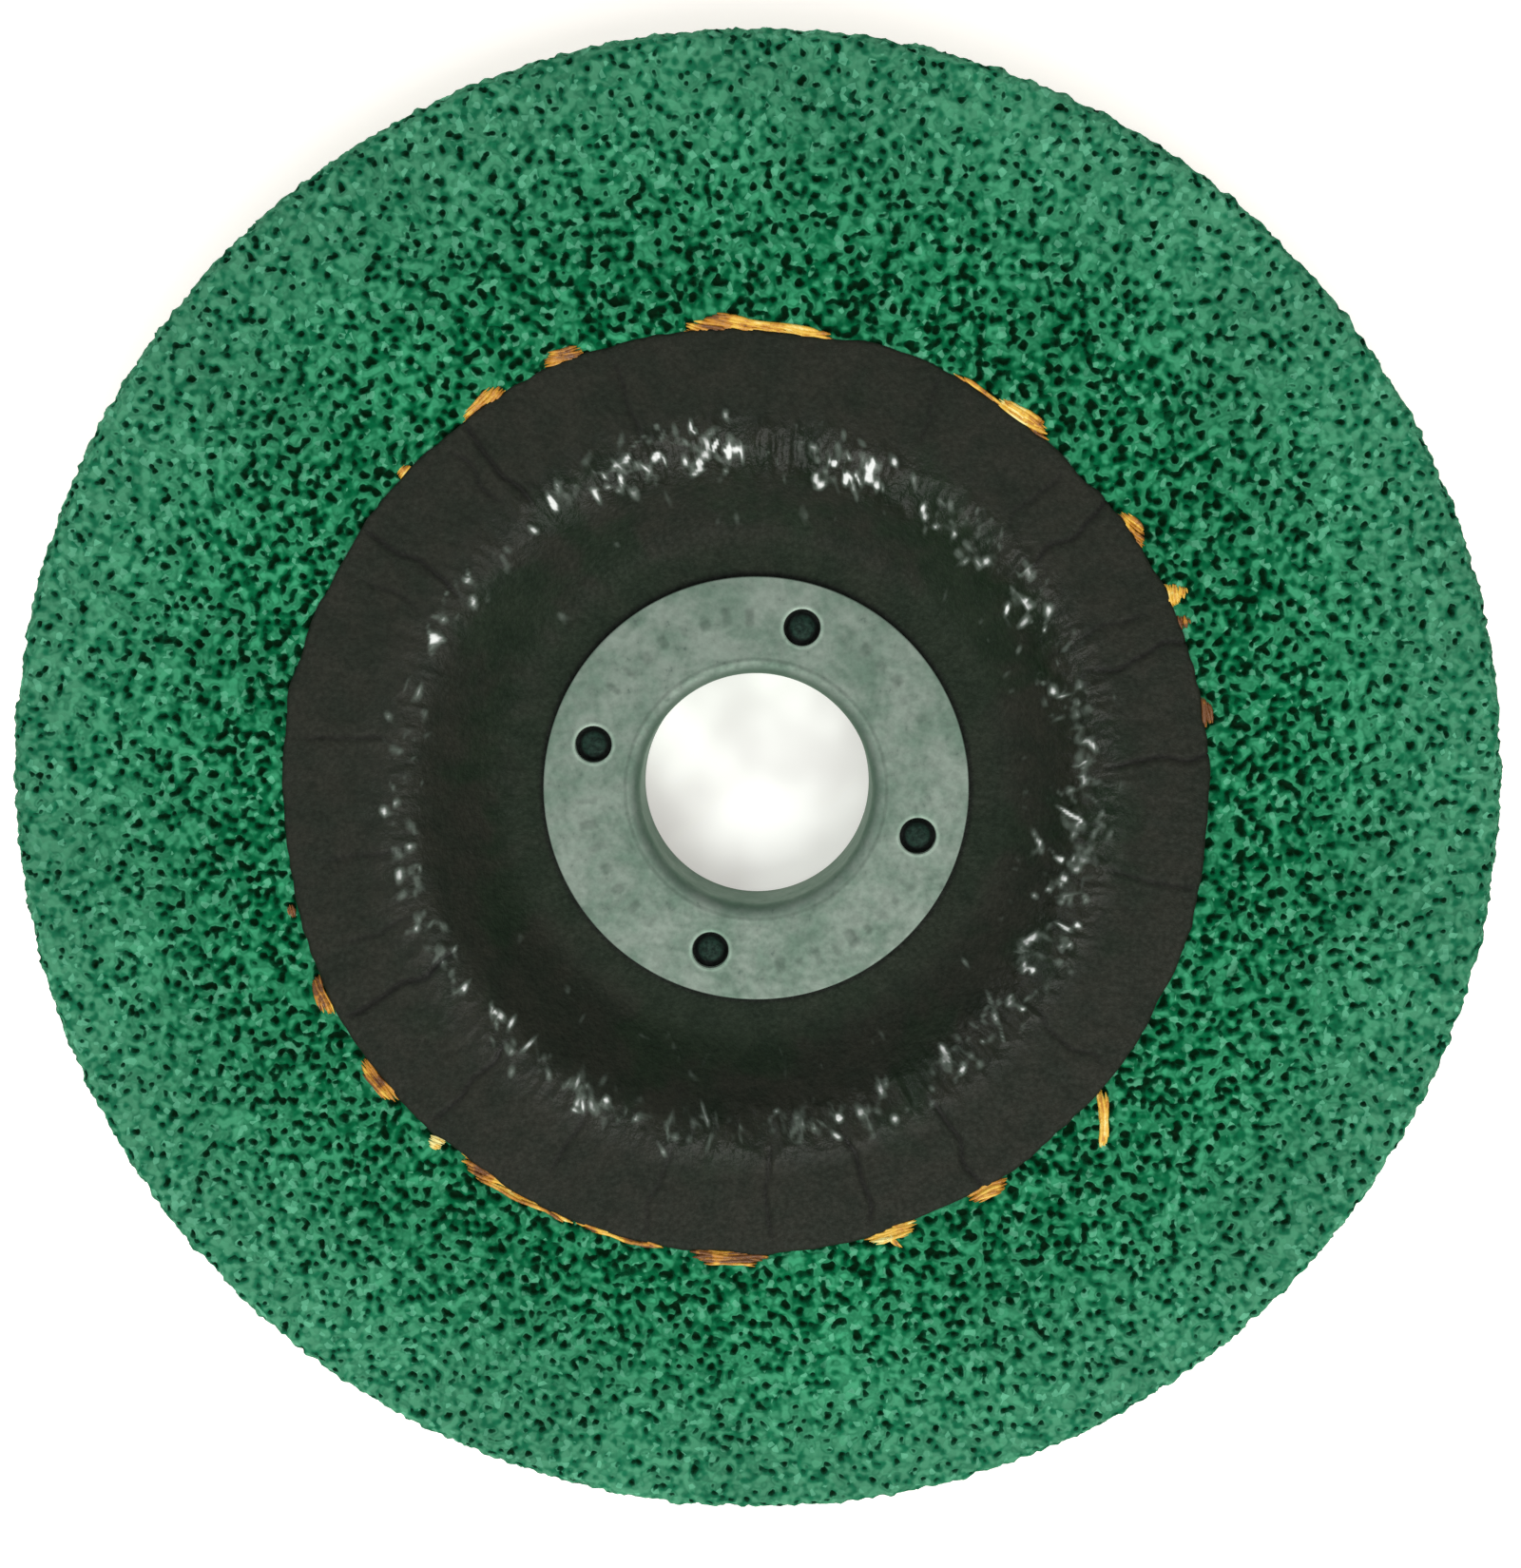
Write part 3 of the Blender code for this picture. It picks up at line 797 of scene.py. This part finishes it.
def net_material(name, colours):
    """Glass fibre in resin. Each tube has its own tone, with streaks and lighter stretches."""
    material, graph, shader = new_material(name, specular=0.5)
    place = graph.object_place()
    tone = graph.stored("tone")
    streaks = graph.noise(place, 2.4, 3.0, 0.6)
    streak = graph.math("MULTIPLY", graph.math("SUBTRACT", streaks, 0.5), 0.8)
    stretch = graph.remap(graph.noise(place, 0.55), 0.3, 0.7, -0.30, 0.30)
    value = graph.math("ADD", graph.math("ADD", tone, streak), stretch)
    dark, middle, gold, cream = colours
    colour = graph.mix(graph.remap(value, 0.15, 0.5), dark, middle)
    colour = graph.mix(graph.remap(value, 0.50, 0.80), colour, gold)
    colour = graph.mix(graph.remap(value, 0.88, 1.15), colour, cream)
    graph.feed(shader.inputs["Base Color"], colour)
    graph.feed(shader.inputs["Roughness"], graph.remap(streaks, 0.3, 0.7, 0.30, 0.62))
    graph.feed(shader.inputs["Normal"], graph.bump(graph.noise(place, 6.0, 2.0, 0.5), 0.05 * MM))
    return material


def net_rear(material):
    """The woven net on the back, with grit between its strands."""
    tubes = Tubes()
    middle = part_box("back_net")[0].z + NET_MIDDLE
    weave_strands(tubes, NET_BORE, NET_RADIUS, middle, 51)
    return add_piece("net_rear", tubes.mesh("net_rear"), material, "back_net")


# Strands that show beyond the paper's edge: angle and reach beyond the edge in mm at both ends, width
# in mm, and tone from orange-brown 0 to pale gold 1
FRAYED = (
    (97.5, 1.35, 78.0, 0.15, 1.5, 0.60),
    (115.5, 0.95, 110.5, 0.45, 0.9, 0.55),
    (128.0, 0.45, 121.5, 0.75, 0.8, 0.45),
    (138.0, 0.45, 136.0, 0.45, 0.5, 0.40),
    (66.0, 0.30, 50.0, 0.40, 0.8, 0.55),
    (59.0, 0.55, 51.5, 0.95, 0.9, 0.70),
    (39.0, 0.40, 33.5, 1.05, 1.35, 0.50),
    (27.1, 1.20, 24.3, 1.00, 1.35, 0.55),
    (23.2, 0.75, 21.4, 0.60, 0.7, 0.0),
    (12.6, 0.45, 8.8, 0.45, 0.5, 0.25),
    (-39.8, 0.30, -44.8, 3.20, 0.6, 0.75),
    (-62.5, 0.60, -57.0, 0.90, 0.9, 0.70),
    (-76.5, 0.50, -69.5, 0.90, 0.9, 0.70),
    (-73.5, 0.30, -72.5, 1.55, 0.7, 0.75),
    (-98.0, 0.75, -88.5, 0.75, 0.8, 0.35),
    (-101.0, 0.30, -112.5, 0.35, 0.5, 0.45),
    (-111.0, 0.45, -128.5, 1.10, 1.2, 0.60),
    (-131.3, 0.85, -133.2, 0.95, 0.85, 1.00),
    (-139.5, 0.75, -145.8, 0.85, 0.8, 0.40),
    (-152.8, 0.85, -157.8, 0.75, 0.7, 0.35),
    (-165.2, 0.75, -166.8, 0.75, 0.4, 0.20),
)
FIBRE_RADIUS = 0.125 * MM
FIBRE_SPACING = 0.052 * MM
FIBRE_TAPER = 0.45 * MM  # length over which a fibre thins to its end
FIBRE_STEP = 0.45 * MM
FIBRE_SWAY = 0.09 * MM
FIBRE_SINK = 0.34 * MM  # how far a fibre dips to pass under the paper
FIBRE_SIDES = 6
RUNS_OUT = 0.7  # below this cosine a strand runs more outwards than round, and is half as wide


def strand_end(degrees, reach):
    """The point on the face at this angle, this many mm beyond the paper's edge."""
    angle = math.radians(degrees)
    radius = float(paper_edge(np.array([angle]))[0]) + reach * MM
    return np.array([radius * math.cos(angle), radius * math.sin(angle)])


def fray(tubes, strand, randomness):
    """One strand as loose fibres. They lie on the grit's shoulder and run in under the paper."""
    first_angle, first_reach, last_angle, last_reach, width, tone = strand
    first, last = strand_end(first_angle, first_reach), strand_end(last_angle, last_reach)
    length = float(np.hypot(*(last - first)))
    direction = (last - first) / length
    inward = np.array([-direction[1], direction[0]])
    if inward @ (first + last) > 0:
        inward = -inward
    runs_out = abs(inward @ first) < RUNS_OUT * np.hypot(*first)
    squeeze = 0.5 if runs_out else 1.0
    side = np.array([inward[0], inward[1], 0.0])
    sides = np.arange(FIBRE_SIDES) / FIBRE_SIDES * FULL_TURN
    ring = np.cos(sides)[:, None] * side + np.sin(sides)[:, None] * np.array([0.0, 0.0, 1.0])
    count = max(3, round(width * MM / FIBRE_SPACING))
    rounding = min(0.42, 0.16 + 0.34 * width * MM / length)
    for index in range(count):
        round_off = rounding * (1.0 - index / count) ** 2
        start = randomness.uniform(-0.03, 0.05) + round_off * randomness.uniform(0.75, 1.0)
        stop = 1.0 - randomness.uniform(-0.03, 0.05) - round_off * randomness.uniform(0.75, 1.0)
        start, stop = start * length, stop * length
        along = np.linspace(start, stop, max(5, round((stop - start) / FIBRE_STEP)))
        wavelength = randomness.uniform(0.8, 2.2)
        sway = FIBRE_SWAY * np.sin(along / MM * wavelength + randomness.uniform(0, 6.0))
        inset = ((index + randomness.uniform(-0.8, 0.8)) * FIBRE_SPACING + sway) * squeeze
        flat = first + along[:, None] * direction + inset[:, None] * inward
        beyond = np.hypot(flat[:, 0], flat[:, 1]) - paper_edge(np.arctan2(flat[:, 1], flat[:, 0]))
        sunk = FIBRE_SINK * (1.0 - smooth_step(beyond, -0.25 * MM, 0.05 * MM))
        z = FACE_Z - shoulder(beyond) + 0.03 * MM - sunk + randomness.uniform(-0.06, 0.05) * MM
        middle = np.column_stack([flat, z])
        taper = 0.25 + 0.75 * smooth_step(np.minimum(along - start, stop - along), 0.0, FIBRE_TAPER)
        thickness = FIBRE_RADIUS * randomness.uniform(0.5, 1.25) * taper
        rings = middle[:, None, :] + thickness[:, None, None] * ring[None, :, :]
        tubes.add(rings, tone + randomness.uniform(-0.22, 0.22))


def net_hub(material):
    """The hub net: woven under the paper, and frayed where it comes out beyond the paper's edge."""
    tubes = Tubes()
    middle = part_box("hub_net")[0].z + NET_MIDDLE
    weave_strands(tubes, NET_BORE, PAPER_RADIUS - 1.6 * MM, middle, 52)
    randomness = np.random.default_rng(53)
    for strand in FRAYED:
        fray(tubes, strand, randomness)
    return add_piece("net_hub", tubes.mesh("net_hub"), material, "hub_net")


# ---------------------------------------------------------------- steel ring

RING_COLUMNS = 720
SHEET = 0.5 * MM
ROLL_RADIUS = 1.0 * MM
BORE_RADIUS = 8.0 * MM
EDGE_ROUND = 0.10 * MM
FLANGE_STEP = 0.11 * MM
MARK_HEIGHT = 0.026 * MM
HOLE_COLUMNS = 48
# Section of a hole from below, as a share of its radius and the height in mm above the flange
HOLE_OUTLINE = ((1.0, -0.6), (1.0, -0.12), (1.02, -0.05), (1.09, 0.0), (1.2, 0.04), (1.2, 0.5))
# Arcs of plain raised bars: first angle, last angle and step in degrees, radius in mm
MARKS = ((92, 152, 7.5, 11.9), (24, 62, 7.0, 12.2), (184, 240, 8.0, 11.8), (-82, -28, 6.2, 12.3))


def arc(centre_radius, centre_z, size, first, last, count):
    """Points on an arc in the section, by radius and z."""
    angles = np.linspace(first, last, count)
    return [(centre_radius + size * math.cos(a), centre_z + size * math.sin(a)) for a in angles]


def ring_outline():
    """Radius and z round the section: up the bore, over the roll, out along the flange and back below."""
    roll_radius, roll_z = BORE_RADIUS + ROLL_RADIUS, RING_TOP - ROLL_RADIUS
    flat_end = FLANGE_RADIUS - EDGE_ROUND
    under = RING_TOP - SHEET
    points = [(BORE_RADIUS + EDGE_ROUND, RING_LOW), (BORE_RADIUS, RING_LOW + EDGE_ROUND)]
    points += [(BORE_RADIUS, z) for z in runs(RING_LOW + 0.5 * MM, roll_z, 0.9 * MM)]
    points += arc(roll_radius, roll_z, ROLL_RADIUS, math.pi, math.pi / 2, 9)
    points += [(radius, RING_TOP) for radius in runs(roll_radius + 0.1 * MM, flat_end, FLANGE_STEP)]
    points += arc(flat_end, RING_TOP - EDGE_ROUND, EDGE_ROUND, math.pi / 2, 0.0, 5)
    points.append((FLANGE_RADIUS, under + EDGE_ROUND / 2))
    points += [(radius, under) for radius in runs(flat_end, roll_radius, 0.8 * MM)]
    points += arc(roll_radius, roll_z, ROLL_RADIUS - SHEET, math.pi / 2, math.pi, 6)
    points += [(BORE_RADIUS + SHEET, z) for z in runs(roll_z - 0.6 * MM, RING_LOW, 1.2 * MM)]
    points.append((BORE_RADIUS + SHEET, RING_LOW))
    return points


def marks(angle, radius):
    """The raised bars that stand in for the pressed lettering, from 0 to 1. They are worn unevenly."""
    randomness = np.random.default_rng(62)
    raised = np.zeros_like(angle)
    for first, last, step, middle in MARKS:
        for degrees in np.arange(first, last, step):
            half_width, half_length = randomness.uniform(0.08, 0.32), randomness.uniform(0.15, 0.62)
            strength = randomness.uniform(0.35, 1.0)
            gap = (angle - math.radians(degrees) + math.pi) % FULL_TURN - math.pi
            across = np.abs(gap) * radius / MM
            along = np.abs(radius / MM - middle - randomness.uniform(-0.15, 0.15))
            bar = 1.0 - smooth_step(across, half_width - 0.08, half_width + 0.26)
            bar = bar * (1.0 - smooth_step(along, half_length - 0.12, half_length + 0.34))
            raised = np.maximum(raised, strength * bar)
    return raised


def hole_cutter(x, y):
    """A round cutter that widens at the flange's top, so that the hole has a rounded edge."""
    angles = column_angles(HOLE_COLUMNS)
    points = []
    for share, height in HOLE_OUTLINE:
        for angle in angles:
            side_x, side_y = HOLE_RADIUS * share * math.cos(angle), HOLE_RADIUS * share * math.sin(angle)
            points.append((x + side_x, y + side_y, RING_TOP + height * MM))
    bottom, top = len(points), len(points) + 1
    points.append((x, y, RING_TOP + HOLE_OUTLINE[0][1] * MM))
    points.append((x, y, RING_TOP + HOLE_OUTLINE[-1][1] * MM))
    last = (len(HOLE_OUTLINE) - 1) * HOLE_COLUMNS
    faces = []
    for here in range(HOLE_COLUMNS):
        beside = (here + 1) % HOLE_COLUMNS
        faces.append((beside, here, bottom))
        for row in range(0, last, HOLE_COLUMNS):
            above = row + HOLE_COLUMNS
            faces.append((row + here, row + beside, above + beside, above + here))
        faces.append((last + here, last + beside, top))
    mesh = bpy.data.meshes.new("hole_cutter")
    mesh.from_pydata(points, [], faces)
    return place_in_scene("hole_cutter", mesh)


def ring_steel(material):
    """The pressed ring: collar, roll, and flange with four holes and faint raised bars."""
    outline = np.array(ring_outline())
    angles = column_angles(RING_COLUMNS)
    radius = outline[:, :1] * np.ones_like(angles)
    angle = np.broadcast_to(angles, radius.shape)
    z = outline[:, 1:] * np.ones_like(angles)
    on_top = outline[:, 1:] > RING_TOP - 0.001 * MM
    raised = marks(angle, radius) * on_top
    z = z + raised * MARK_HEIGHT + on_top * 0.012 * MM * ring_noise(angle, radius, 24, 2 * MM, 61)
    mesh = mesh_from_grid("ring_steel", around(radius, angle, z)[::-1])
    store(mesh, "mark", "FLOAT", raised[::-1])
    body = place_in_scene("ring_body", mesh)
    cutters = [hole_cutter(x, y) for x, y in hole_places()]
    for cutter in cutters:
        cut = body.modifiers.new("hole", "BOOLEAN")
        cut.object = cutter
        cut.solver = "EXACT"
    made = evaluated_mesh(body)
    made.shade_smooth()
    made.set_sharp_from_angle(angle=math.radians(40.0))
    for obj in [body, *cutters]:
        bpy.data.objects.remove(obj)
    return add_piece("ring_steel", made, material, "centre_ring")


def distance_from_holes(graph, place):
    """Distance in mm to the middle of the nearest hole. The four are folded onto one quarter."""
    values = {"Vector": place, "Angle": math.radians(45.0) - FIRST_HOLE}
    turned = graph.add("ShaderNodeVectorRotate", values, rotation_type="Z_AXIS").outputs[0]
    folded = graph.vector("ABSOLUTE", turned)
    step = HOLE_CIRCLE_RADIUS / MM * math.sqrt(0.5)
    return graph.distance_from_axis(graph.vector("SUBTRACT", folded, (step, step, 0.0)))


def steel_material():
    """Pressed and tarnished zinc-plated steel, satin and faintly green."""
    material, graph, shader = new_material("satin_steel", metallic=1.0)
    place = graph.object_place()
    clouds = graph.noise(place, 0.34, 4.0, 0.65)
    spots = graph.noise(place, 1.4, 4.0, 0.6)
    cloud = graph.remap(clouds, 0.3, 0.7)
    colour = graph.mix(cloud, (0.142, 0.210, 0.164), (0.240, 0.292, 0.250))
    colour = graph.mix(graph.remap(spots, 0.62, 0.78), colour, (0.125, 0.172, 0.145))
    radius = graph.distance_from_axis(place)
    in_bore = graph.remap(radius, BORE_RADIUS / MM + 0.05, BORE_RADIUS / MM + 0.5, 0.35, 0.0)
    colour = graph.mix(in_bore, colour, (0.125, 0.245, 0.160))
    away = distance_from_holes(graph, place)
    # Painted highlight: a lighter ring just outside each hole's rounded edge.
    colour = graph.brighten(colour, graph.remap(away, 1.30, 1.62, 1.60, 1.0))
    colour = graph.brighten(colour, graph.remap(graph.stored("mark"), 0.0, 1.0, 1.0, 0.72))
    # Painted shade: a thin darker line where the roll meets the flange.
    crease = (BORE_RADIUS + ROLL_RADIUS) / MM
    from_crease = graph.math("ABSOLUTE", graph.math("SUBTRACT", radius, crease))
    colour = graph.brighten(colour, graph.remap(from_crease, 0.03, 0.20, 0.80, 1.0))
    graph.feed(shader.inputs["Base Color"], colour)
    graph.feed(shader.inputs["Roughness"], graph.remap(spots, 0.3, 0.7, 0.62, 0.76))
    graph.feed(shader.inputs["Normal"], graph.bump(graph.noise(place, 3.0, 4.0, 0.6), 0.012 * MM))
    return material


# ---------------------------------------------------------------- floor, light and camera

CAMERA_PLACE = Vector((1.97, 15.94, 149.2)) * MM
CAMERA_AIM = Vector((0.30, 0.27, 5.0)) * MM
LENS = 49.4
SENSOR = 36.0
FLOOR_GLOW = 0.40  # keeps the floor white in the wheel's own shadow


def floor():
    """A pale floor, a little greyer where it shows through the bore, as painted shade."""
    size = 1.5
    mesh = bpy.data.meshes.new("floor")
    z = cad_box[0].z
    corners = [(-size, -size, z), (size, -size, z), (size, size, z), (-size, size, z)]
    mesh.from_pydata(corners, [], [(0, 1, 2, 3)])
    material, graph, shader = new_material("pale_floor", roughness=0.9, specular=0.1)
    place = graph.object_place()
    wide = graph.noise(place, 0.01)
    colour = graph.mix(wide, (0.95, 0.905, 0.87), (0.97, 0.925, 0.89))
    # Painted shade: the floor seen through the bore is coloured greyer, in patches.
    cloud = graph.remap(graph.noise(place, 0.10), 0.35, 0.65, 0.50, 0.80)
    open_floor = graph.remap(graph.distance_from_axis(place), 9.0, 20.0)
    colour = graph.mix(open_floor, graph.brighten((0.93, 0.97, 0.94), cloud), colour)
    graph.feed(shader.inputs["Base Color"], colour)
    shader.inputs["Emission Color"].default_value = (1.0, 0.94, 0.89, 1.0)
    shader.inputs["Emission Strength"].default_value = FLOOR_GLOW
    mesh.materials.append(material)
    place_in_scene("floor", mesh)


def area_light(name, azimuth, elevation, distance, size, power, colour):
    """A soft square light that looks at the wheel from this direction, in degrees."""
    turn, lift = math.radians(azimuth), math.radians(elevation)
    way = Vector((math.cos(turn) * math.cos(lift), math.sin(turn) * math.cos(lift), math.sin(lift)))
    data = bpy.data.lights.new(name, "AREA")
    data.size = size
    data.energy = power
    data.color = colour
    lamp = place_in_scene(name, data)
    lamp.location = way * distance
    lamp.rotation_mode = "QUATERNION"
    lamp.rotation_quaternion = way.to_track_quat("Z", "Y")


def lights():
    """An even white world, a soft main light from -Y and a weaker one from -X."""
    world = bpy.data.worlds.new("studio")
    world.use_nodes = True
    world.node_tree.nodes["Background"].inputs["Color"].default_value = (1.0, 1.0, 1.0, 1.0)
    world.node_tree.nodes["Background"].inputs["Strength"].default_value = 0.52
    bpy.context.scene.world = world
    area_light("key", azimuth=-76.0, elevation=53.0, distance=0.60, size=0.50, power=3.4,
               colour=(1.0, 0.99, 0.97))
    area_light("fill", azimuth=150.0, elevation=45.0, distance=0.70, size=0.30, power=1.1,
               colour=(0.97, 0.99, 1.0))


def camera():
    """A close camera above the wheel, with +Y upwards in its view."""
    data = bpy.data.cameras.new("camera")
    data.sensor_width = SENSOR
    data.sensor_fit = "HORIZONTAL"
    data.lens = LENS
    data.clip_start = 0.01
    ahead = (CAMERA_AIM - CAMERA_PLACE).normalized()
    right = ahead.cross(Vector((0.0, 1.0, 0.0))).normalized()
    up = right.cross(ahead)
    made = place_in_scene("camera", data)
    axes = Matrix((right, up, -ahead)).transposed()
    made.matrix_world = Matrix.Translation(CAMERA_PLACE) @ axes.to_4x4()
    bpy.context.scene.camera = made


def middle_net_material(material):
    """The middle net keeps its CAD mesh, because the layers hide it."""
    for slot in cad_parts["middle_net"].material_slots:
        slot.material = material


def main():
    camera()
    floor()
    lights()
    bpy.context.scene.view_settings.view_transform = "Standard"
    grit = grit_material()
    abrasive_face(grit)
    abrasive_rear(grit)
    paper_front(paper_material("front_paper_black"))
    label_rear(paper_material("back_label_black"))
    net = net_material("amber_glass_fibre", AMBER)
    net_hub(net)
    net_rear(net_material("dusty_glass_fibre", DUSTY))
    middle_net_material(net)
    ring_steel(steel_material())


main()
